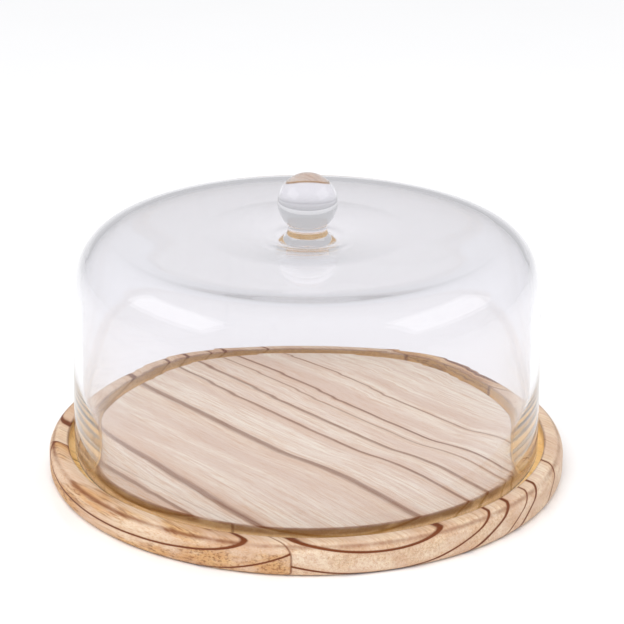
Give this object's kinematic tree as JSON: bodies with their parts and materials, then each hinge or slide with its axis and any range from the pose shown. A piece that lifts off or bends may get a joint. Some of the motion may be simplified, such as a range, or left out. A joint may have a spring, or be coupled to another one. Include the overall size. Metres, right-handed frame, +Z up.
{
  "type": "cheese dome",
  "caption": "Round wooden serving board with a ring groove and a clear glass bell cover lifted by a solid glass ball knob.",
  "frame": {"origin": "centre of the board's flat underside", "axes": "+Z up along the axis that the round board, bell and knob share; the staves' grain runs 44 degrees clockwise from +X"},
  "size_m": [0.3, 0.3, 0.1748],
  "materials": {
    "wood_front": "smooth sanded paulownia, lightly scorched",
    "wood_middle": "smooth sanded paulownia, pale with brown growth lines",
    "wood_back": "smooth sanded paulownia, lightly scorched",
    "bell_glass": "clear polished glass",
    "knob_glass": "clear polished glass"
  },
  "bodies": {
    "board": {"stave_front": "wood_front", "stave_middle": "wood_middle", "stave_back": "wood_back"},
    "dome": {"glass_bell": "bell_glass", "glass_knob": "knob_glass"}
  },
  "joints": [
    {"name": "dome_lift", "type": "slide", "parent": "board", "child": "dome", "axis": [0, 0, 1], "range_m": [0, 0.2]}
  ]
}
